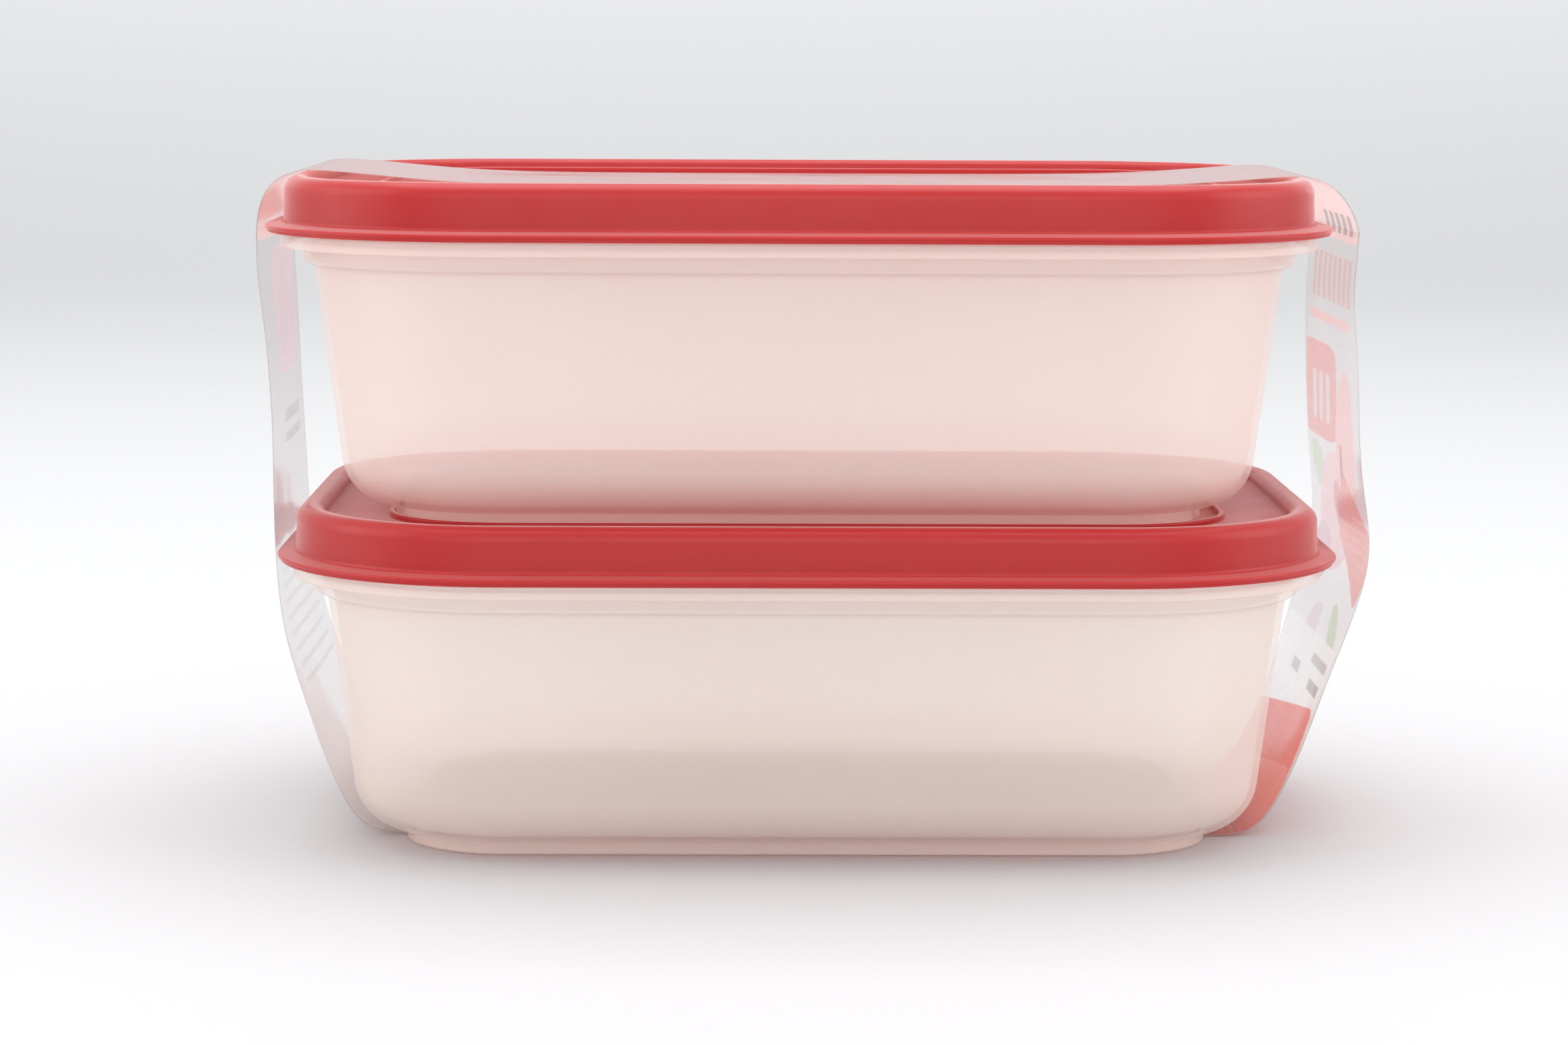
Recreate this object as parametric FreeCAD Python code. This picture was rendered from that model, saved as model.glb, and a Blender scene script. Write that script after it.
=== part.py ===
import FreeCAD, Part
import math
import os

# Two stacked snap-lid food containers held together by one printed film band.
# Frame: +X along the long side, +Y to the back, +Z up, in mm. The origin is the centre of the
# lower container on the surface that the band's underside rests on.
#
# Every moulded piece follows one rounded-rectangle outline, the edge of the lid's brim, and its
# wall section is given as (inset, height) pairs: how far in from that outline, how far up from
# the foot. Sections are carried round the outline by straight and turned quarters.

V = FreeCAD.Vector

# ---- driving dimensions ----
LENGTH = 170.0          # lid brim, end to end
DEPTH = 122.0           # lid brim, front to back
CORNER = 37.0           # corner radius of the brim's outline

# lid
BRIM_WIDTH = 3.0        # how far the brim stands out from the skirt
BRIM_HEIGHT = 1.6       # brim thickness at its root
LIP_HEIGHT = 0.6        # lower of the brim's two lips
LIP_STEP = 0.45         # how far the lower lip is set back
LID_WALL = 1.1          # skirt and ring wall
SKIRT_LEAN = 0.2        # how far the skirt leans in over its height
RING_WIDTH = 4.2        # raised ring, over its top
RING_OUTER_ROUND = 2.2
RING_INNER_ROUND = 1.4
RECESS = 1.95           # panel top below the ring's top
PANEL = 1.0             # panel thickness
PLUG_DEPTH = 1.5        # plug lip below the panel
SNAP_CLEARANCE = 0.05   # between the lid's bead and the tub's as they pass
SNAP_DOWN = 4.0         # top of the lid's bead below the rim
SNAP_HEIGHT = 1.4       # lid's bead, top to bottom
SNAP_RAMP = 0.4         # height of the slope at each end of the lid's bead
RIB_WIDTH = 1.0         # locating rib on the panel
RIB_HEIGHT = 0.9
PANEL_MARGIN = 3.0      # from the ring to where the carried section meets the flat panel
LIP_EDGE = 0.55         # height of the brim's upper lip at its edge

# tub
TUB_WALL = 1.0
DRAFT = 7.5             # wall lean from upright, in degrees
BODY_HEIGHT = 40.2      # foot to the top of the drafted wall
NECK_HEIGHT = 5.1       # drafted wall to the top of the ledge
NECK_STEP = 1.85        # how far the neck stands out from the wall's top
NECK_INSET = 6.05
LEDGE_INSET = 2.5
LEDGE_LIP = 2.2         # height of the ledge's turned-down lip
RIM_HEIGHT = 7.9        # rim above the ledge
RIM_WALL = 1.2
RIM_BEAD = 0.45
BEAD_TOP_DOWN = 0.9     # rim bead: its top, its flat and its bottom, below the rim
BEAD_FLAT_DOWN = 1.6
BEAD_FLAT_END = 2.2
BEAD_END_DOWN = 2.8
NECK_SLOPE = 0.5        # rise of the shelf from the wall's top to the neck
BOTTOM_RADIUS = 8.0     # outside, floor to wall
FOOT_HEIGHT = 2.2
FOOT_WALL = 1.3
FOOT_STEP = 0.5         # flat between the bottom radius and the foot
GATE_RADIUS = 2.5       # moulding gate mark under the floor
GATE_HEIGHT = 0.5
FLOOR_MARGIN = 1.0      # from the foot to where the carried section meets the flat floor

# edge rounds
LIP_ROUND = 0.12
FINE_ROUND = 0.2
EDGE_ROUND = 0.3
SOFT_ROUND = 0.4
STEP_ROUND = 0.6
WALL_ROUND = 1.0

# fits
SEAT_GAP = 0.2          # brim's underside above the ledge
SKIRT_GAP = 0.35        # tub's bead to the inside of the skirt
PLUG_GAP = 0.3          # inside of the rim to the plug
STACK_PLAY = 1.6        # foot to locating rib, each side
STACK_REST = 0.1        # what is left of that play where the upper container stands, at -X

# film band
FILM = 0.25             # film thickness
BAND_WIDTH = 54.0
BAND_FRONT = -24.0      # band's front edge, along Y
BAND_LIFT = 0.05        # film above the upper lid's ring
CUT_BELOW = 0.6         # cut line below the upper brim's parting line
FILM_TOP_OUT = 3.1      # film beyond the brim's end beside the upper lid, both ends
FILM_LOOSE_OUT = 5.9    # film beyond the lower brim where it bulges, at +X
FILM_SNUG_OUT = 0.75    # film beyond the lower brim where it lies close, at -X
FILM_TURN_LOOSE = 0.4   # where the film turns up, beyond the tub's bottom corner, at +X
FILM_TURN_SNUG = -1.6   # the same at -X, where it turns under the corner's round
FILM_BULGE_TURN = 0.4   # film beyond its top position where the bulge ends, at +X
FILM_TURN_ROUND = 8.0   # film's radius where it turns up from the floor
FILM_CREST_LOOSE = 8.4  # film's radius where it turns over the upper lid, at +X
FILM_CREST_SNUG = 6.0   # the same at -X
FILM_BRIM_ROUND = 12.0  # film's radius where it bulges by the lower brim, at +X
FILM_BULGE_ROUND = 30.0  # and where the bulge ends above it
FILM_DROP_ROUND = 15.0  # film's radius below the upper brim, at -X
FILM_LEAN_ROUND = 60.0  # and where it comes in to lie close
FILM_TUCK_ROUND = 20.0  # and where it turns in under the lower brim

# ---- levels and insets that follow from them ----
LEDGE_TOP = BODY_HEIGHT + NECK_HEIGHT
FILM_SHORT_RUN = BODY_HEIGHT / 6    # film's straight run next to a brim
FILM_LONG_RUN = BODY_HEIGHT / 2     # and from the lower brim up to its next turn
RIM_TOP = LEDGE_TOP + RIM_HEIGHT
BRIM_BOTTOM = LEDGE_TOP + SEAT_GAP
PARTING = BRIM_BOTTOM + LIP_HEIGHT
RING_TOP = RIM_TOP + LID_WALL
PANEL_TOP = RING_TOP - RECESS
PITCH = PANEL_TOP                    # the upper foot stands on the lower lid's panel

SKIRT_IN = BRIM_WIDTH + LID_WALL
BEAD_TIP = SKIRT_IN + SKIRT_GAP
RIM_OUT = BEAD_TIP + RIM_BEAD
RIM_IN = RIM_OUT + RIM_WALL
PLUG_OUT = RIM_IN + PLUG_GAP
RECESS_WALL = BRIM_WIDTH + SKIRT_LEAN + RING_WIDTH
PANEL_EDGE = RECESS_WALL + PANEL_MARGIN

LEAN = math.tan(math.radians(DRAFT))
WALL_TOP_INSET = NECK_INSET + NECK_STEP
WALL_FOOT_INSET = WALL_TOP_INSET + (BODY_HEIGHT - FOOT_HEIGHT) * LEAN
WALL_ACROSS = TUB_WALL / math.cos(math.radians(DRAFT))
BOTTOM_REACH = BOTTOM_RADIUS * math.tan(math.radians(90.0 - DRAFT) / 2)
FOOT_OUT = WALL_FOOT_INSET + BOTTOM_REACH + FOOT_STEP
FOOT_IN = FOOT_OUT + FOOT_WALL
FLOOR_EDGE = FOOT_IN + FLOOR_MARGIN

LOWER_BASE = FILM
UPPER_BASE = FILM + PITCH
STACK_SHIFT = STACK_REST - STACK_PLAY


def rounded_path(points, closed):
    """Edges through (x, z, radius) points in the XZ plane, each corner rounded to its radius."""
    corners = [V(x, 0, z) for x, z, _ in points]
    count = len(points)
    starts, ends, arcs = [], [], []
    for i, (_, _, radius) in enumerate(points):
        here = corners[i]
        if radius == 0 or (not closed and i in (0, count - 1)):
            starts.append(here)
            ends.append(here)
            arcs.append(None)
            continue
        back = (corners[i - 1] - here).normalize()
        ahead = (corners[(i + 1) % count] - here).normalize()
        half = back.getAngle(ahead) / 2
        middle = (back + ahead).normalize()
        starts.append(here + back * (radius / math.tan(half)))
        ends.append(here + ahead * (radius / math.tan(half)))
        arcs.append(here + middle * (radius / math.sin(half) - radius))
    edges = []
    for i in range(count):
        if arcs[i]:
            edges.append(Part.Arc(starts[i], arcs[i], ends[i]).toShape())
        if closed or i < count - 1:
            edges.append(Part.makeLine(ends[i], starts[(i + 1) % count]))
    return edges


def carry_round(section):
    """Solid of a closed (inset, height, radius) section carried round the brim's outline."""
    half_x = LENGTH / 2
    half_y = DEPTH / 2
    end = rounded_path([(half_x - inset, height, radius) for inset, height, radius in section], True)
    face = Part.Face(Part.Wire(end))
    face.translate(V(0, half_y - CORNER, 0))
    centre = V(half_x - CORNER, half_y - CORNER, 0)
    corner = face.revolve(centre, V(0, 0, 1), 90)
    turned = face.rotated(centre, V(0, 0, 1), 90)
    quarter = corner.fuse([face.extrude(V(0, CORNER - half_y, 0)),
                           turned.extrude(V(CORNER - half_x, 0, 0))])
    half = quarter.fuse(quarter.mirror(V(0, 0, 0), V(1, 0, 0)))
    return half.fuse(half.mirror(V(0, 0, 0), V(0, 1, 0))).removeSplitter()


def plate(inset, bottom, thickness):
    """Flat rounded rectangle, set in from the brim's outline."""
    x = LENGTH / 2 - inset
    y = DEPTH / 2 - inset
    radius = CORNER - inset
    block = Part.makeBox(2 * x, 2 * y, thickness, V(-x, -y, bottom))
    upright = [e for e in block.Edges if abs(e.Vertexes[0].Z - e.Vertexes[1].Z) > thickness / 2]
    return block.makeFillet(radius, upright)


def tub():
    """Drafted tub with a stepped neck, a ledge with a turned-down lip, a snap rim and a foot."""
    floor_in = FOOT_HEIGHT + TUB_WALL
    inner_foot_inset = WALL_FOOT_INSET + WALL_ACROSS - TUB_WALL * LEAN
    shelf = LEDGE_TOP - TUB_WALL
    neck_in = NECK_INSET + TUB_WALL
    wall_in = WALL_TOP_INSET + WALL_ACROSS
    section = [
        (FLOOR_EDGE, FOOT_HEIGHT, 0),
        (FOOT_IN, FOOT_HEIGHT, FINE_ROUND),
        (FOOT_IN, 0, EDGE_ROUND),
        (FOOT_OUT, 0, SOFT_ROUND),
        (FOOT_OUT, FOOT_HEIGHT, EDGE_ROUND),
        (WALL_FOOT_INSET, FOOT_HEIGHT, BOTTOM_RADIUS),
        (WALL_TOP_INSET, BODY_HEIGHT, WALL_ROUND),
        (NECK_INSET, BODY_HEIGHT + NECK_SLOPE, STEP_ROUND),
        (NECK_INSET, shelf, EDGE_ROUND),
        (LEDGE_INSET + TUB_WALL, shelf, FINE_ROUND),
        (LEDGE_INSET + TUB_WALL, LEDGE_TOP - LEDGE_LIP, EDGE_ROUND),
        (LEDGE_INSET, LEDGE_TOP - LEDGE_LIP, EDGE_ROUND),
        (LEDGE_INSET, LEDGE_TOP, SOFT_ROUND),
        (RIM_OUT, LEDGE_TOP, EDGE_ROUND),
        (RIM_OUT, RIM_TOP - BEAD_END_DOWN, SOFT_ROUND),
        (BEAD_TIP, RIM_TOP - BEAD_FLAT_END, SOFT_ROUND),
        (BEAD_TIP, RIM_TOP - BEAD_FLAT_DOWN, SOFT_ROUND),
        (RIM_OUT, RIM_TOP - BEAD_TOP_DOWN, FINE_ROUND),
        (RIM_OUT, RIM_TOP, SOFT_ROUND),
        (RIM_IN, RIM_TOP, SOFT_ROUND),
        (RIM_IN, LEDGE_TOP, STEP_ROUND),
        (neck_in, LEDGE_TOP - NECK_SLOPE, SOFT_ROUND),
        (neck_in, BODY_HEIGHT + NECK_SLOPE + TUB_WALL, STEP_ROUND),
        (wall_in, BODY_HEIGHT + NECK_SLOPE, WALL_ROUND),
        (inner_foot_inset, floor_in, BOTTOM_RADIUS - TUB_WALL),
        (FLOOR_EDGE, floor_in, 0),
    ]
    gate = Part.makeCylinder(GATE_RADIUS, GATE_HEIGHT, V(0, 0, FOOT_HEIGHT - GATE_HEIGHT))
    body = carry_round(section).fuse([plate(FLOOR_EDGE, FOOT_HEIGHT, TUB_WALL), gate])
    return body.removeSplitter()


def lid():
    """Lid with a two-lipped brim, a snap skirt, a raised ring, a recessed panel and a plug lip."""
    skirt_top_in = SKIRT_IN + SKIRT_LEAN
    bead = BEAD_TIP - SNAP_CLEARANCE
    panel_under = PANEL_TOP - PANEL
    plug_end = panel_under - PLUG_DEPTH
    bead_top = RIM_TOP - SNAP_DOWN
    bead_low = bead_top - SNAP_HEIGHT
    section = [
        (SKIRT_IN, BRIM_BOTTOM, EDGE_ROUND),
        (LIP_STEP, BRIM_BOTTOM, FINE_ROUND),
        (LIP_STEP, PARTING, LIP_ROUND),
        (0, PARTING, LIP_ROUND),
        (0, PARTING + LIP_EDGE, EDGE_ROUND),
        (BRIM_WIDTH, BRIM_BOTTOM + BRIM_HEIGHT, STEP_ROUND),
        (BRIM_WIDTH + SKIRT_LEAN, RING_TOP, RING_OUTER_ROUND),
        (RECESS_WALL, RING_TOP, RING_INNER_ROUND),
        (RECESS_WALL, PANEL_TOP, SOFT_ROUND),
        (PANEL_EDGE, PANEL_TOP, 0),
        (PANEL_EDGE, panel_under, 0),
        (RECESS_WALL, panel_under, EDGE_ROUND),
        (RECESS_WALL, plug_end, EDGE_ROUND),
        (PLUG_OUT, plug_end, EDGE_ROUND),
        (PLUG_OUT, RIM_TOP, FINE_ROUND),
        (skirt_top_in, RIM_TOP, STEP_ROUND),
        (SKIRT_IN, bead_top, EDGE_ROUND),
        (bead, bead_top - SNAP_RAMP, FINE_ROUND),
        (bead, bead_low + SNAP_RAMP, FINE_ROUND),
        (SKIRT_IN, bead_low, EDGE_ROUND),
    ]
    rib_in = FOOT_OUT - STACK_PLAY
    rib_out = rib_in - RIB_WIDTH
    rib = [
        (rib_out, PANEL_TOP - PANEL / 2, 0),
        (rib_out, PANEL_TOP + RIB_HEIGHT, EDGE_ROUND),
        (rib_in, PANEL_TOP + RIB_HEIGHT, EDGE_ROUND),
        (rib_in, PANEL_TOP - PANEL / 2, 0),
    ]
    panel = plate(PANEL_EDGE, panel_under, PANEL)
    return carry_round(section).fuse([panel, carry_round(rib)]).removeSplitter()


def film_run(points):
    """Film along an open XZ route of its outer face, over the band's width."""
    outer = Part.Wire(rounded_path(points, False))
    strip = outer.makeOffset2D(FILM, 0, True, True)
    strip.translate(V(0, BAND_FRONT, 0))
    return strip.extrude(V(0, BAND_WIDTH, 0))


def band():
    """The film band as two pieces that meet at the cut line by the upper lid's brim.

    The lower piece is a U round the lower container and up both sides. The upper piece crosses
    the upper lid. The sides clear both brims, so each lid still lifts straight up between them.
    """
    end = LENGTH / 2
    corner = end - WALL_FOOT_INSET
    cut = UPPER_BASE + PARTING - CUT_BELOW
    top = UPPER_BASE + RING_TOP + BAND_LIFT + FILM
    lower_brim = LOWER_BASE + PARTING
    left = -end - FILM_TOP_OUT
    right = end + FILM_TOP_OUT
    snug = -end - FILM_SNUG_OUT
    wrap = film_run([
        (left, cut, 0),
        (left, cut - FILM_SHORT_RUN, FILM_DROP_ROUND),
        (snug, lower_brim + FILM_LONG_RUN, FILM_LEAN_ROUND),
        (snug, lower_brim - FILM_SHORT_RUN, FILM_TUCK_ROUND),
        (-corner - FILM_TURN_SNUG, 0, FILM_TURN_ROUND),
        (corner + FILM_TURN_LOOSE, 0, FILM_TURN_ROUND),
        (end + FILM_LOOSE_OUT, lower_brim, FILM_BRIM_ROUND),
        (right + FILM_BULGE_TURN, lower_brim + FILM_LONG_RUN, FILM_BULGE_ROUND),
        (right, cut, 0),
    ])
    cap = film_run([
        (right, cut, 0),
        (right, top, FILM_CREST_LOOSE),
        (left, top, FILM_CREST_SNUG),
        (left, cut, 0),
    ])
    return wrap, cap


def placed(shape, base, shift):
    """A container piece stood at its place in the stack."""
    copy = shape.copy()
    copy.translate(V(shift, 0, base))
    return copy


def build():
    tub_shape = tub()
    lid_shape = lid()
    wrap, cap = band()
    return {
        "lower_tub": placed(tub_shape, LOWER_BASE, 0),
        "lower_lid": placed(lid_shape, LOWER_BASE, 0),
        "upper_tub": placed(tub_shape, UPPER_BASE, STACK_SHIFT),
        "upper_lid": placed(lid_shape, UPPER_BASE, STACK_SHIFT),
        "band_wrap": wrap,
        "band_cap": cap,
    }


os.makedirs("parts", exist_ok=True)
for node, shape in build().items():
    if len(shape.Solids) != 1 or not shape.isValid():
        raise ValueError(f"{node}: {len(shape.Solids)} solids, valid {shape.isValid()}")
    shape.Solids[0].exportStep(f"parts/{node}.step")
    box = shape.optimalBoundingBox()
    print(f"{node}: {shape.Volume / 1000:.2f} cm3, "
          f"x {box.XMin:.2f} {box.XMax:.2f}, y {box.YMin:.2f} {box.YMax:.2f}, "
          f"z {box.ZMin:.2f} {box.ZMax:.2f}")
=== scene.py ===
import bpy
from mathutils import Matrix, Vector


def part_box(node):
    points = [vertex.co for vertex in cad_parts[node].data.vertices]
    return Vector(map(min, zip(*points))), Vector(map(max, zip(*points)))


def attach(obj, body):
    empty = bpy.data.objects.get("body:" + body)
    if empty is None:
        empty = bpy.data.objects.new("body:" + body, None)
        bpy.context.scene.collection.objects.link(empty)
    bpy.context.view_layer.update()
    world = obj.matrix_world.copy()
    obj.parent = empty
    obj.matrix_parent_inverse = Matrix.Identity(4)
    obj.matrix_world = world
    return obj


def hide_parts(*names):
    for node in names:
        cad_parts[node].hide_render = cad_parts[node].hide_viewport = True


bl_info = {
    "name": "Food container two-pack",
    "version": (1, 0, 0),
    "blender": (4, 5, 0),
    "location": "3D View > Sidebar > Two-pack",
    "description": "Dresses two stacked snap-lid food containers and models the printed film round them",
    "category": "Add Mesh",
}

import bmesh
import bpy
import math
from bpy.props import FloatProperty, FloatVectorProperty, PointerProperty
from mathutils import Matrix, Vector

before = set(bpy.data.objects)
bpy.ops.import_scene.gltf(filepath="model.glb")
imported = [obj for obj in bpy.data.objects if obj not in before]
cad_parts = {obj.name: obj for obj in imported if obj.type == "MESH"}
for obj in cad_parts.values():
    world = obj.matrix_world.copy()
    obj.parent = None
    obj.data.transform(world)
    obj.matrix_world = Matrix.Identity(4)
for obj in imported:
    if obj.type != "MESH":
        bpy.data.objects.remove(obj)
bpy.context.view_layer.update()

MM = 0.001
NEAR = 1e-5         # two places closer than this, in metres, are one
TUBS = ("lower_tub", "upper_tub")
LIDS = ("lower_lid", "upper_lid")
FRONT_EDGE, BACK_EDGE = (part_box("band_wrap")[i].y for i in (0, 1))
CUT_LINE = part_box("band_wrap")[1].z
STRAIGHT_END = 66 * MM      # half the length of the band's flat top and bottom runs
FREE_FROM, FREE_TO = 4 * MM, 96 * MM    # heights between which the film hangs free
EASE_LOW, EASE_HIGH = 12 * MM, 10 * MM  # heights over which its ripples fade in and out
FILM_ROWS = 8               # faces across the band before it is smoothed
FILM_CREASE = math.radians(50)


# ---- shared helpers ----

def linear(code):
    """Linear colour of an sRGB hex code, opaque."""
    parts = [int(code[i:i + 2], 16) / 255 for i in (1, 3, 5)]
    return tuple(c / 12.92 if c <= 0.04045 else ((c + 0.055) / 1.055) ** 2.4 for c in parts) + (1.0,)


def add_node(tree, kind, inputs=None, **settings):
    """Adds a node with its settings. An input is a value, or the output that feeds it."""
    made = tree.nodes.new(kind)
    for key, value in settings.items():
        setattr(made, key, value)
    for key, value in (inputs or {}).items():
        if isinstance(value, bpy.types.NodeSocket):
            tree.links.new(value, made.inputs[key])
        else:
            made.inputs[key].default_value = value
    return made


def hex_colour(name, description, code):
    """A colour setting whose default is an sRGB hex code."""
    return FloatVectorProperty(
        name=name, description=description, default=linear(code), size=4, min=0, max=1, subtype="COLOR")


def share(name, description, default):
    """A setting between nothing and all of it."""
    return FloatProperty(
        name=name, description=description, default=default, min=0, max=1, subtype="FACTOR")


def length(name, description, millimetres):
    """A length setting, in metres as Blender keeps it."""
    return FloatProperty(name=name, description=description, default=millimetres * MM, unit="LENGTH")


def power(name, description, watts):
    """A lamp's power setting."""
    return FloatProperty(name=name, description=description, default=watts, unit="POWER")


def new_material(name):
    """An empty node material and its tree."""
    material = bpy.data.materials.new(name)
    material.use_nodes = True
    material.node_tree.nodes.clear()
    return material, material.node_tree


def deselect_all():
    bpy.ops.object.select_all(action="DESELECT")
    bpy.context.view_layer.objects.active = None


def dress(piece, material):
    """Gives a piece one material in place of what it had."""
    piece.data.materials.clear()
    piece.data.materials.append(material)


def apply_modifier(piece, kind, **settings):
    """Adds a modifier with its settings and applies it."""
    modifier = piece.modifiers.new(kind.title(), kind)
    for key, value in settings.items():
        setattr(modifier, key, value)
    bpy.context.view_layer.objects.active = piece
    bpy.ops.object.modifier_apply(modifier=modifier.name)


def choose(piece, wanted):
    """In edit mode, selects the vertices that wanted(vertex) picks, and the edges between them."""
    bpy.ops.mesh.select_all(action="DESELECT")
    mesh = bmesh.from_edit_mesh(piece.data)
    for v in mesh.verts:
        v.select_set(wanted(v))
    mesh.select_flush(True)
    bmesh.update_edit_mesh(piece.data)


def lay_film(name, stations):
    """A strip of film through (x, z, back) stations in mm, extruded edge by edge from the first.

    x and z place the front edge, and back is how far the back edge stands out of line along X.
    """
    deselect_all()
    bpy.ops.mesh.primitive_plane_add(size=2)
    strip = bpy.context.object
    strip.name = name
    strip.data.name = name
    bpy.ops.object.mode_set(mode="EDIT")
    bpy.ops.mesh.select_mode(type="VERT")
    for side, (x, z, back) in ((-1, stations[0]), (1, stations[1])):
        for edge, edge_x, y in ((-1, x, FRONT_EDGE), (1, x + back, BACK_EDGE)):
            corner = Vector((side, edge, 0))
            place = Vector((edge_x * MM, y, z * MM))
            choose(strip, lambda v: (v.co - corner).length < NEAR)
            bpy.ops.transform.translate(value=place - corner)
    x, z, back = stations[1]
    choose(strip, lambda v: abs(v.co.z - z * MM) < NEAR)
    for next_x, next_z, next_back in stations[2:]:
        bpy.ops.mesh.extrude_region_move(
            TRANSFORM_OT_translate={"value": ((next_x - x) * MM, 0, (next_z - z) * MM)})
        mesh = bmesh.from_edit_mesh(strip.data)
        leading = [v.index for v in mesh.verts if v.select]
        choose(strip, lambda v: v.index in leading and v.co.y > 0)
        bpy.ops.transform.translate(value=((next_back - back) * MM, 0, 0))
        choose(strip, lambda v: v.index in leading)
        x, z, back = next_x, next_z, next_back
    bpy.ops.mesh.select_mode(type="EDGE")
    bpy.ops.mesh.select_all(action="DESELECT")
    mesh = bmesh.from_edit_mesh(strip.data)
    for e in mesh.edges:
        e.select_set(abs(e.verts[0].co.y - e.verts[1].co.y) > NEAR)
    bmesh.update_edit_mesh(strip.data)
    bpy.ops.mesh.subdivide(number_cuts=FILM_ROWS - 1)
    bpy.ops.object.mode_set(mode="OBJECT")
    return strip


def finish_film(strip, settings):
    """Rounds the strip, ripples it where it hangs free and gives it its thickness."""
    apply_modifier(strip, "SUBSURF", levels=2, render_levels=2, boundary_smooth="PRESERVE_CORNERS")
    free = strip.vertex_groups.new(name="free")
    for v in strip.data.vertices:
        slackness = min((v.co.z - FREE_FROM) / EASE_LOW, (FREE_TO - v.co.z) / EASE_HIGH, 1)
        free.add([v.index], max(slackness, 0), "REPLACE")
    ripple = bpy.data.textures.new("film_ripple", "CLOUDS")
    ripple.noise_scale = settings.ripple_length
    ripple.noise_depth = 1
    apply_modifier(
        strip, "DISPLACE", texture=ripple, strength=settings.ripple, mid_level=0.5, vertex_group="free")
    strip.vertex_groups.clear()
    bpy.ops.object.mode_set(mode="EDIT")
    bpy.ops.mesh.select_all(action="SELECT")
    bpy.ops.mesh.remove_doubles(threshold=NEAR)
    bpy.ops.mesh.normals_make_consistent(inside=False)
    bpy.ops.object.mode_set(mode="OBJECT")
    apply_modifier(strip, "SOLIDIFY", thickness=settings.thickness, offset=0)
    bpy.ops.object.shade_smooth_by_angle(angle=FILM_CREASE)


# ---- materials ----

def scuffed(tree, place, roughness):
    """Roughness that handling has made uneven, in patches about 8 mm across."""
    patches = add_node(tree, "ShaderNodeTexNoise", {
        "Vector": place.outputs["Object"], "Scale": 1 / (8 * MM), "Detail": 5.0, "Roughness": 0.6})
    return add_node(tree, "ShaderNodeMapRange", {
        "Value": patches.outputs["Fac"], "From Min": 0.3, "From Max": 0.7,
        "To Min": roughness - 0.07, "To Max": roughness + 0.07}).outputs[0]


def let_light_through(tree, surface, colour, passing):
    """Lets a share of the lamplight pass a thin wall, tinted as light scattered in it would be."""
    path = add_node(tree, "ShaderNodeLightPath")
    part = add_node(tree, "ShaderNodeMath", {
        0: path.outputs["Is Shadow Ray"], 1: passing}, operation="MULTIPLY")
    clear = add_node(tree, "ShaderNodeBsdfTransparent", {"Color": colour})
    return add_node(tree, "ShaderNodeMixShader", {
        "Fac": part.outputs[0], 1: surface.outputs[0], 2: clear.outputs[0]})


def natural_polypropylene(settings):
    """Tub plastic: natural polypropylene, injection moulded.

    Milky and see-through at 1 mm. The mould's fine spark finish blurs what is behind it, and the
    cream cast is the resin's own. Flow leaves faint cloudy streaks.
    """
    material, tree = new_material("natural_polypropylene")
    place = add_node(tree, "ShaderNodeTexCoord")
    cloud = add_node(tree, "ShaderNodeTexNoise", {
        "Vector": place.outputs["Object"], "Scale": 1 / (60 * MM), "Detail": 3.0, "Roughness": 0.5})
    tint = add_node(tree, "ShaderNodeMix", {
        "Factor": cloud.outputs["Fac"], 6: settings.shade, 7: settings.colour}, data_type="RGBA")
    grain = add_node(tree, "ShaderNodeTexNoise", {
        "Vector": place.outputs["Object"], "Scale": 1 / (0.9 * MM), "Detail": 2.0})
    bump = add_node(tree, "ShaderNodeBump", {
        "Height": grain.outputs["Fac"], "Strength": 0.06, "Distance": 0.05 * MM})
    body = add_node(tree, "ShaderNodeBsdfPrincipled", {
        "Base Color": tint.outputs[2], "Roughness": scuffed(tree, place, settings.roughness),
        "IOR": 1.49, "Specular IOR Level": settings.satin, "Alpha": settings.opacity,
        "Normal": bump.outputs["Normal"]})
    glow = add_node(tree, "ShaderNodeBsdfTranslucent", {"Color": tint.outputs[2]})
    milk = add_node(tree, "ShaderNodeMixShader", {
        "Fac": settings.glow, 1: body.outputs[0], 2: glow.outputs[0]})
    wall = let_light_through(tree, milk, settings.passing_colour, settings.passing)
    add_node(tree, "ShaderNodeOutputMaterial", {"Surface": wall.outputs[0]})
    return material


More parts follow.
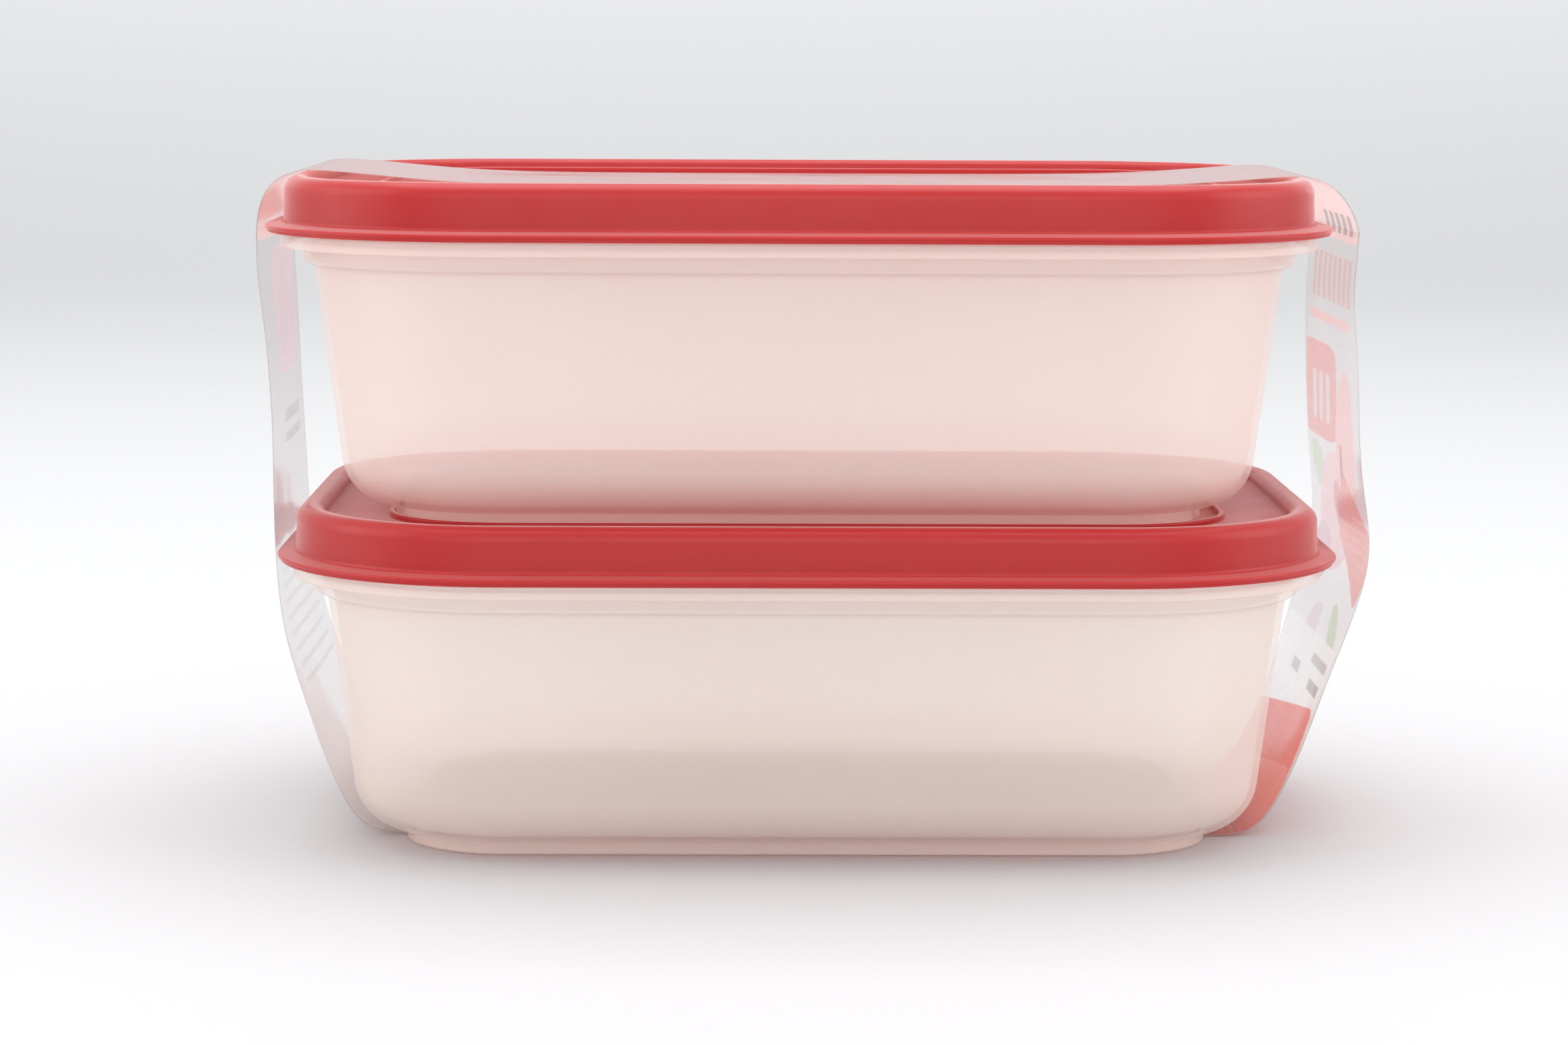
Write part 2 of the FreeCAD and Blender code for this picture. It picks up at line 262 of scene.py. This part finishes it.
def coral_polyethylene(settings):
    """Lid plastic: low-density polyethylene with coral pigment, injection moulded.

    Waxy, soft to the light and satin, so that highlights are broad and pale, and thin walls let
    some light through. The soft skin holds specks of dust, 0.3 mm across and about 9 mm apart.
    """
    material, tree = new_material("coral_low_density_polyethylene")
    place = add_node(tree, "ShaderNodeTexCoord")
    cloud = add_node(tree, "ShaderNodeTexNoise", {
        "Vector": place.outputs["Object"], "Scale": 1 / (45 * MM), "Detail": 4.0, "Roughness": 0.55})
    tint = add_node(tree, "ShaderNodeMix", {
        "Factor": cloud.outputs["Fac"], 6: settings.shade, 7: settings.colour}, data_type="RGBA")
    spread = add_node(tree, "ShaderNodeTexVoronoi", {
        "Vector": place.outputs["Object"], "Scale": 1 / (9 * MM)})
    speck = add_node(tree, "ShaderNodeMath", {
        0: spread.outputs["Distance"], 1: 0.035}, operation="LESS_THAN")
    dusty = add_node(tree, "ShaderNodeMix", {
        "Factor": speck.outputs[0], 6: tint.outputs[2], 7: linear("#EBB5B2")}, data_type="RGBA")
    grain = add_node(tree, "ShaderNodeTexNoise", {
        "Vector": place.outputs["Object"], "Scale": 1 / (1.2 * MM), "Detail": 3.0})
    bump = add_node(tree, "ShaderNodeBump", {
        "Height": grain.outputs["Fac"], "Strength": 0.08, "Distance": 0.06 * MM})
    body = add_node(tree, "ShaderNodeBsdfPrincipled", {
        "Base Color": dusty.outputs[2], "Roughness": scuffed(tree, place, settings.roughness),
        "IOR": 1.51, "Specular IOR Level": settings.wax,
        "Sheen Weight": settings.bloom, "Sheen Roughness": 0.3, "Sheen Tint": linear("#FFE9E6"),
        "Normal": bump.outputs["Normal"]})
    glow = add_node(tree, "ShaderNodeBsdfTranslucent", {"Color": settings.glow_colour})
    mixed = add_node(tree, "ShaderNodeMixShader", {
        "Fac": settings.glow, 1: body.outputs[0], 2: glow.outputs[0]})
    wall = let_light_through(tree, mixed, settings.passing_colour, settings.passing)
    add_node(tree, "ShaderNodeOutputMaterial", {"Surface": wall.outputs[0]})
    return material


def printed_film(name, panels, settings):
    """Band: clear polypropylene film, extruded, reverse printed and slit.

    Glossy and a little hazy, with translucent pink inks that let light from behind glow through,
    unevenly over patches about 6 mm across. The panels are laid one over another, in their order.
    """
    material, tree = new_material(name)
    place = add_node(tree, "ShaderNodeTexCoord")
    wear = add_node(tree, "ShaderNodeTexNoise", {
        "Vector": place.outputs["Object"], "Scale": 1 / (6 * MM), "Detail": 3.0})
    colour = None
    cover = None
    for y, z, half_y, half_z, turn, squareness, code, strength in panels:
        local = add_node(tree, "ShaderNodeMapping", {
            "Vector": place.outputs["Object"], "Location": (0, y * MM, z * MM),
            "Rotation": (math.radians(turn), 0, 0), "Scale": (1, half_y * MM, half_z * MM)},
            vector_type="TEXTURE")
        split = add_node(tree, "ShaderNodeSeparateXYZ", {0: local.outputs[0]})
        across = add_node(tree, "ShaderNodeMath", {
            0: split.outputs["Y"], 1: squareness}, operation="POWER")
        along = add_node(tree, "ShaderNodeMath", {
            0: split.outputs["Z"], 1: squareness}, operation="POWER")
        total = add_node(tree, "ShaderNodeMath", {0: across.outputs[0], 1: along.outputs[0]})
        inside = add_node(tree, "ShaderNodeMath", {0: total.outputs[0], 1: 1.0}, operation="LESS_THAN")
        before = colour.outputs[2] if colour else settings.film_colour
        covered = cover.outputs[0] if cover else settings.haze
        colour = add_node(tree, "ShaderNodeMix", {
            "Factor": inside.outputs[0], 6: before, 7: linear(code)}, data_type="RGBA")
        cover = add_node(tree, "ShaderNodeMix", {
            "Factor": inside.outputs[0], 2: covered, 3: strength}, data_type="FLOAT")
    uneven = add_node(tree, "ShaderNodeMapRange", {
        "Value": wear.outputs["Fac"], "To Min": 0.85, "To Max": 1.1})
    opacity = add_node(tree, "ShaderNodeMath", {
        0: cover.outputs[0], 1: uneven.outputs[0]}, operation="MULTIPLY", use_clamp=True)
    slack = add_node(tree, "ShaderNodeTexNoise", {
        "Vector": place.outputs["Object"], "Scale": 1 / settings.ripple_length, "Detail": 2.0})
    bump = add_node(tree, "ShaderNodeBump", {
        "Height": slack.outputs["Fac"], "Strength": 0.5, "Distance": settings.ripple})
    alpha = add_node(tree, "ShaderNodeMath", {0: opacity.outputs[0], 1: 0.5}, operation="MULTIPLY")
    face = add_node(tree, "ShaderNodeBsdfPrincipled", {
        "Base Color": colour.outputs[2], "Roughness": 0.3, "IOR": 1.49, "Alpha": alpha.outputs[0],
        "Normal": bump.outputs["Normal"]})
    backlit = add_node(tree, "ShaderNodeBsdfTranslucent", {"Color": colour.outputs[2]})
    scattered = add_node(tree, "ShaderNodeMath", {0: opacity.outputs[0], 1: 0.75}, operation="MULTIPLY")
    ink = add_node(tree, "ShaderNodeMixShader", {
        "Fac": scattered.outputs[0], 1: face.outputs[0], 2: backlit.outputs[0]})
    facing = add_node(tree, "ShaderNodeLayerWeight", {"Blend": 0.5})
    steep = add_node(tree, "ShaderNodeMath", {0: facing.outputs["Facing"], 1: 5.0}, operation="POWER")
    mirror = add_node(tree, "ShaderNodeMath", {
        0: steep.outputs[0], 1: settings.edge_gloss, 2: settings.gloss}, operation="MULTIPLY_ADD")
    shine = add_node(tree, "ShaderNodeBsdfGlossy", {"Roughness": 0.12, "Normal": bump.outputs["Normal"]})
    mixed = add_node(tree, "ShaderNodeMixShader", {
        "Fac": mirror.outputs[0], 1: ink.outputs[0], 2: shine.outputs[0]})
    add_node(tree, "ShaderNodeOutputMaterial", {"Surface": mixed.outputs[0]})
    return material


def seamless_paper(settings):
    """Backdrop: matt seamless paper.

    Light grey underfoot, and painted whiter up the sweep, where less light falls: a painted brightening
    that stands in for light.
    """
    material, tree = new_material("seamless_paper")
    place = add_node(tree, "ShaderNodeTexCoord")
    split = add_node(tree, "ShaderNodeSeparateXYZ", {0: place.outputs["Object"]})
    height = add_node(tree, "ShaderNodeMapRange", {"Value": split.outputs["Z"], "From Max": 0.5})
    # painted light: the tone grades from grey on the floor to white up the sweep, to make up for the
    # light that falls there
    tone_with_painted_light = add_node(tree, "ShaderNodeMix", {
        "Factor": height.outputs[0], 6: settings.paper, 7: settings.paper_painted_lighter_above}, data_type="RGBA")
    fibre = add_node(tree, "ShaderNodeTexNoise", {
        "Vector": place.outputs["Object"], "Scale": 1 / (1.5 * MM), "Detail": 2.0})
    bump = add_node(tree, "ShaderNodeBump", {
        "Height": fibre.outputs["Fac"], "Strength": 0.02, "Distance": 0.05 * MM})
    paper = add_node(tree, "ShaderNodeBsdfPrincipled", {
        "Base Color": tone_with_painted_light.outputs[2], "Roughness": 0.75, "Normal": bump.outputs["Normal"]})
    add_node(tree, "ShaderNodeOutputMaterial", {"Surface": paper.outputs[0]})
    return material


# ---- print on the film ----
# Each panel is (y, z, half y, half z, turn, squareness, colour, cover), in mm and degrees on the
# band's side. A squareness of 2 gives an oval, 6 a rounded block and 20 a sharp one. Cover is the
# share of light that the ink stops.

# The top pink is pale print made near white and laid at full cover over the top of the band: partly
# print, partly a painted sheen for the film's haze seen at a graze.
TOP_PINK_AND_SHEEN = "#FFE2DF"
PALE_PINK = "#FFD2CE"
SALMON = "#F7A99F"
CORAL = "#F49A8D"
ROSE = "#F0AEB2"
LEAF = "#D5E4BF"
MARK = "#C09A9A"
# EDGES paints a thin grey line along each cut edge of the film, where the edge shows as a darker line.
EDGES = [
    (-23.7, 50.0, 0.3, 80.0, 0, 20, "#C9BABA", 0.4),
    (29.7, 50.0, 0.3, 80.0, 0, 20, "#C9BABA", 0.4),
]
PINK_WASH = [(3.2, 50.0, 25.6, 75.0, 0, 20, "#FFEDEB", 0.15)]
BARS = [(-17.5 + 5.5 * i, 89.4, 1.3, 3.9, 0, 20, SALMON, 0.45) for i in range(8)]
TICKS = [(-16.0 + 6.4 * i, 98.8, 2.0, 1.7, 0, 20, MARK, 0.6) for i in range(5)]
STROKES = [(8.0 + 6.5 * i, 68.6, 1.8, 4.2, 0, 6, "#F6E3E1", 0.4) for i in range(3)]

RIGHT_PRINT = PINK_WASH + [
    (3.2, 108.0, 25.6, 12.0, 0, 20, TOP_PINK_AND_SHEEN, 1.0),
] + TICKS + BARS + [
    (4.0, 82.4, 21.5, 0.8, 0, 20, PALE_PINK, 0.6),
    (16.5, 69.6, 17.0, 8.2, 0, 6, SALMON, 0.5),
] + STROKES + [
    (-8.0, 62.0, 9.0, 13.0, 15, 2, PALE_PINK, 0.5),
    (20.0, 56.5, 7.0, 3.6, 20, 2, LEAF, 0.4),
    (5.0, 50.0, 16.0, 10.0, -10, 2, "#FADADD", 0.5),
    (-12.0, 47.5, 13.0, 6.2, 22, 20, SALMON, 0.5),
    (2.0, 51.5, 5.0, 3.4, 30, 2, ROSE, 0.55),
    (-3.0, 59.0, 1.0, 3.0, 8, 6, "#DC7A72", 0.55),
    (16.0, 42.0, 8.0, 5.0, 0, 2, "#EBC4CE", 0.45),
    (-13.0, 31.8, 6.6, 2.4, 35, 2, LEAF, 0.45),
    (6.0, 31.0, 6.0, 3.2, -20, 2, "#F0DDE6", 0.35),
    (4.0, 24.5, 25.5, 5.5, 0, 20, "#FFFFFF", 0.65),
    (-12.0, 26.6, 7.5, 0.8, 0, 20, "#C8BCBC", 0.45),
    (-13.5, 22.8, 5.5, 0.9, 0, 20, "#B4A9A9", 0.5),
    (8.0, 23.4, 4.0, 1.0, 0, 20, "#C4BEC1", 0.4),
    (3.2, 5.0, 25.6, 12.5, -7, 20, CORAL, 1.0),
    (3.2, -2.0, 25.6, 10.0, -7, 20, "#F8B3A9", 1.0),
] + EDGES
LEFT_PRINT = PINK_WASH + [
    (3.2, 108.0, 25.6, 12.0, 0, 20, TOP_PINK_AND_SHEEN, 1.0),
    (10.0, 83.5, 16.0, 10.5, 0, 6, "#FFE0E6", 0.5),
    (10.0, 66.0, 12.0, 1.0, 0, 20, "#CBC1C3", 0.4),
    (10.0, 62.5, 12.0, 0.8, 0, 20, "#CBC1C3", 0.4),
] + [(4.0, 42.0 - 2.6 * i, 20.0, 0.4, 0, 20, "#D8CDCE", 0.22) for i in range(8)] + EDGES
# The film over the upper lid carries the top pink: partly print, partly painted sheen.
TOP_PRINT_AND_SHEEN = [(3.2, 108.0, 25.6, 12.0, 0, 20, TOP_PINK_AND_SHEEN, 1.0)] + EDGES
UNDER_PRINT = [(3.2, 0.0, 25.6, 30.0, 0, 20, "#EE938C", 1.0)] + EDGES


# ---- settings ----

class TubSettings(bpy.types.PropertyGroup):
    """Look of the two tubs."""
    colour: hex_colour("Colour", "Resin colour", "#FCF8F1")
    shade: hex_colour("Shade", "Colour of the cloudier flow", "#F8F0E8")
    roughness: share("Roughness", "Surface roughness", 0.38)
    satin: share("Satin", "Strength of the highlights", 0.3)
    opacity: share("Opacity", "Share of light a face stops", 0.32)
    glow: share("Glow", "Share of light that scatters through", 0.12)
    passing_colour: hex_colour("Passing colour", "Tint of lamplight that gets by a face", "#FFDCD6")
    passing: share("Passing light", "Extra share of lamplight a face lets by", 0.75)


class LidSettings(bpy.types.PropertyGroup):
    """Look of the two lids."""
    colour: hex_colour("Colour", "Pigment colour", "#B81417")
    shade: hex_colour("Shade", "Deeper pigment colour", "#B01013")
    glow_colour: hex_colour("Glow colour", "Colour of light scattered through the wall", "#F0605A")
    passing_colour: hex_colour("Passing colour", "Tint of lamplight that gets by a face", "#F0A8A0")
    roughness: share("Roughness", "Surface roughness", 0.4)
    glow: share("Glow", "Share of light that scatters through", 0.3)
    wax: share("Wax", "Strength of the satin highlights", 0.6)
    bloom: share("Bloom", "Waxy bloom seen at a graze", 1.0)
    passing: share("Passing light", "Share of lamplight a face lets by", 0.42)


class FilmSettings(bpy.types.PropertyGroup):
    """Shape and look of the film band."""
    thickness: length("Thickness", "Film thickness", 0.15)
    ripple: length("Ripple", "Depth of the ripples", 0.5)
    ripple_length: length("Ripple length", "Size of one ripple", 28)
    film_colour: hex_colour("Film colour", "Clear film's haze", "#FFFBFA")
    haze: share("Haze", "Share of light the clear film scatters", 0.08)
    gloss: share("Gloss", "Mirror share seen straight on", 0.03)
    edge_gloss: share("Edge gloss", "Mirror share added at a graze", 0.8)


class StageSettings(bpy.types.PropertyGroup):
    """Backdrop, lights and camera."""
    lens: FloatProperty(name="Lens", description="Focal length", default=92.13, unit="CAMERA")
    paper: hex_colour("Paper", "Colour of the floor", "#C1C1C2")
    # painted light: the paper up the sweep is painted whiter, where less light falls
    paper_painted_lighter_above: hex_colour("Paper above", "Colour of the paper up the sweep", "#F6F6F6")
    top_power: power("Top light", "Power overhead", 10.5)
    side_power: power("Side lights", "Power at each side", 4.5)
    front_power: power("Front light", "Power from the front", 7.0)
    wall_power: power("Wall light", "Power on the paper behind", 8.5)
    fill: share("Fill", "Strength of the white surroundings", 0.98)


# ---- operators ----

class FOODPACK_OT_stage(bpy.types.Operator):
    """Sets up the paper sweep, the soft lights and the camera"""
    bl_idname = "foodpack.stage"
    bl_label = "Stage"

    def execute(self, context):
        settings = context.scene.foodpack_stage
        sweep = self.paper_sweep()
        dress(sweep, seamless_paper(settings))
        self.soft_lights(context, settings)
        self.camera(context, settings)
        context.scene.view_settings.view_transform = "Standard"
        return {"FINISHED"}

    def paper_sweep(self):
        """Floor that turns up into a wall behind."""
        half_width, front, turn, radius, top = 4.0, -2.5, 1.3, 1.6, 2.0
        deselect_all()
        bpy.ops.mesh.primitive_plane_add(size=2, location=(0, (front + turn) / 2, 0))
        sweep = bpy.context.object
        sweep.name = "paper_sweep"
        sweep.scale = (half_width, (turn - front) / 2, 1)
        bpy.ops.object.transform_apply(location=True, rotation=True, scale=True)
        bpy.ops.object.mode_set(mode="EDIT")
        bpy.ops.mesh.select_mode(type="VERT")
        choose(sweep, lambda v: v.co.y > turn - MM)
        bpy.ops.mesh.spin(steps=24, angle=math.radians(-90), center=(0, turn, radius), axis=(1, 0, 0))
        bpy.ops.mesh.extrude_region_move(TRANSFORM_OT_translate={"value": (0, 0, top)})
        bpy.ops.mesh.select_all(action="SELECT")
        bpy.ops.mesh.remove_doubles(threshold=NEAR)
        bpy.ops.object.mode_set(mode="OBJECT")
        bpy.ops.object.shade_smooth()
        return sweep

    def soft_lights(self, context, settings):
        """White surroundings, large soft lamps round the pack and one on the paper behind."""
        world = bpy.data.worlds.new("studio_white")
        context.scene.world = world
        world.use_nodes = True
        world.node_tree.nodes["Background"].inputs["Color"].default_value = linear("#FCFDFF")
        world.node_tree.nodes["Background"].inputs["Strength"].default_value = settings.fill
        pack = (0, 0, 0.05)
        lights = [
            ("top_box", (0, 0.1, 1.1), pack, 1.2, 1.0, settings.top_power),
            ("left_box", (-1.1, -0.15, 0.45), pack, 0.9, 0.9, settings.side_power),
            ("right_box", (1.1, -0.15, 0.45), pack, 0.9, 0.9, settings.side_power),
            ("front_box", (0, -1.6, 0.5), pack, 1.8, 0.9, settings.front_power),
            ("wall_box", (0, 0.9, 1.9), (0, 2.7, 0.7), 2.0, 0.6, settings.wall_power),
        ]
        for name, place, aim, width, height, watts in lights:
            deselect_all()
            bpy.ops.object.light_add(type="AREA", location=place)
            light = bpy.context.object
            light.name = name
            light.data.shape = "RECTANGLE"
            light.data.size = width
            light.data.size_y = height
            light.data.energy = watts
            light.rotation_euler = (Vector(aim) - Vector(place)).to_track_quat("-Z", "Y").to_euler()

    def camera(self, context, settings):
        """Camera a little above the lids, in front and to the left of the middle, in mm and radians."""
        x, y, z = -10.97, -664.97, 130.9
        pitch, yaw, roll = 0.1235, 0.01127, 0.0043
        ahead = Vector((math.sin(yaw), math.cos(yaw), -math.tan(pitch))).normalized()
        level = Vector((math.cos(yaw), -math.sin(yaw), 0))
        up = level.cross(ahead)
        across = level * math.cos(roll) + up * math.sin(roll)
        upright = up * math.cos(roll) - level * math.sin(roll)
        deselect_all()
        bpy.ops.object.camera_add(location=(x * MM, y * MM, z * MM))
        camera = bpy.context.object
        camera.name = "camera"
        camera.data.lens = settings.lens
        camera.data.sensor_width = 36.0
        camera.data.clip_start = 10 * MM
        turned = Matrix((across, upright, -ahead)).transposed()
        camera.rotation_euler = turned.to_euler()
        context.scene.camera = camera


class FOODPACK_OT_tubs(bpy.types.Operator):
    """Gives both tubs their translucent plastic"""
    bl_idname = "foodpack.tubs"
    bl_label = "Tubs"

    def execute(self, context):
        plastic = natural_polypropylene(context.scene.foodpack_tubs)
        for name in TUBS:
            dress(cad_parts[name], plastic)
        return {"FINISHED"}


class FOODPACK_OT_lids(bpy.types.Operator):
    """Gives both lids their coral plastic"""
    bl_idname = "foodpack.lids"
    bl_label = "Lids"

    def execute(self, context):
        plastic = coral_polyethylene(context.scene.foodpack_lids)
        for name in LIDS:
            dress(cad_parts[name], plastic)
        return {"FINISHED"}


class FOODPACK_OT_film(bpy.types.Operator):
    """Models the printed film band as a lower U and the run over the upper lid"""
    bl_idname = "foodpack.film"
    bl_label = "Film band"

    def execute(self, context):
        settings = context.scene.foodpack_film
        cut = CUT_LINE / MM
        # from the cut at -X, down, under the lower tub and up to the cut at +X
        wrap = lay_film("film_wrap", [
            (-88.0, cut, 0), (-88.1, 92.0, 0), (-87.0, 84.0, -0.5), (-86.1, 74.0, -0.9),
            (-85.7, 62.0, -0.8), (-85.8, 50.0, 0), (-85.3, 39.0, 0), (-83.4, 29.5, 0.3),
            (-80.9, 21.5, 0.6), (-78.0, 13.0, 0.5), (-75.0, 6.0, 0.3), (-72.0, 1.6, 0),
            (-67.5, 0.14, 0), (-50.0, 0.12, 0), (0, 0.12, 0), (50.0, 0.12, 0),
            (66.0, 0.13, 0), (71.5, 0.4, 0), (75.0, 3.2, 0), (77.9, 8.4, 0.4),
            (80.8, 15.2, 0.6), (83.4, 22.7, 0), (86.4, 31.0, -0.8), (89.2, 38.2, -1.4),
            (90.9, 45.0, -1.7), (90.5, 52.0, -1.4), (89.1, 59.5, -0.9), (88.5, 68.0, -0.7),
            (88.5, 77.0, -0.9), (87.2, 87.0, 0.2), (87.7, 93.0, 0.1), (88.0, cut, 0),
        ])
        # from the cut at -X over the upper lid to the cut at +X
        cap = lay_film("film_cap", [
            (-88.0, cut, 0), (-87.7, 101.2, 0), (-86.7, 104.0, 0), (-85.0, 106.1, 0.1),
            (-82.4, 107.3, 0.2), (-79.0, 107.75, 0), (-73.0, 107.25, 0), (-66.0, 106.6, 0),
            (-58.0, 105.85, 0), (-45.0, 105.4, 0), (-20.0, 105.3, 0), (20.0, 105.3, 0),
            (50.0, 105.4, 0), (63.0, 106.1, 0), (71.0, 106.7, 0), (77.5, 107.3, 0),
            (81.2, 106.9, 0), (84.0, 105.4, 0), (86.2, 102.8, 0), (87.5, 100.2, 0),
            (88.0, cut, 0),
        ])
        right = printed_film("printed_film_right", RIGHT_PRINT, settings)
        left = printed_film("printed_film_left", LEFT_PRINT, settings)
        plain = printed_film("printed_film_plain", TOP_PRINT_AND_SHEEN, settings)
        under = printed_film("printed_film_under", UNDER_PRINT, settings)
        for strip, node, flat in ((wrap, "band_wrap", under), (cap, "band_cap", plain)):
            finish_film(strip, settings)
            for material in (flat, left, right):
                strip.data.materials.append(material)
            for face in strip.data.polygons:
                if abs(face.center.x) > STRAIGHT_END:
                    face.material_index = 1 if face.center.x < 0 else 2
            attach(strip, node)
            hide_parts(node)
        return {"FINISHED"}


class FOODPACK_PT_panel(bpy.types.Panel):
    """Lists the steps that build the pack"""
    bl_idname = "FOODPACK_PT_panel"
    bl_label = "Two-pack"
    bl_space_type = "VIEW_3D"
    bl_region_type = "UI"
    bl_category = "Two-pack"

    def draw(self, context):
        for step in STEPS:
            self.layout.operator(step.bl_idname)


SETTINGS = {
    "foodpack_stage": StageSettings,
    "foodpack_tubs": TubSettings,
    "foodpack_lids": LidSettings,
    "foodpack_film": FilmSettings,
}
STEPS = (FOODPACK_OT_stage, FOODPACK_OT_tubs, FOODPACK_OT_lids, FOODPACK_OT_film)


def register():
    for group in SETTINGS.values():
        bpy.utils.register_class(group)
    for step in STEPS:
        bpy.utils.register_class(step)
    bpy.utils.register_class(FOODPACK_PT_panel)
    for name, group in SETTINGS.items():
        setattr(bpy.types.Scene, name, PointerProperty(type=group))


def unregister():
    for name in SETTINGS:
        delattr(bpy.types.Scene, name)
    bpy.utils.unregister_class(FOODPACK_PT_panel)
    for step in reversed(STEPS):
        bpy.utils.unregister_class(step)
    for group in reversed(list(SETTINGS.values())):
        bpy.utils.unregister_class(group)


def main():
    register()
    bpy.ops.foodpack.stage()
    bpy.ops.foodpack.tubs()
    bpy.ops.foodpack.lids()
    bpy.ops.foodpack.film()


if __name__ == "__main__":
    main()
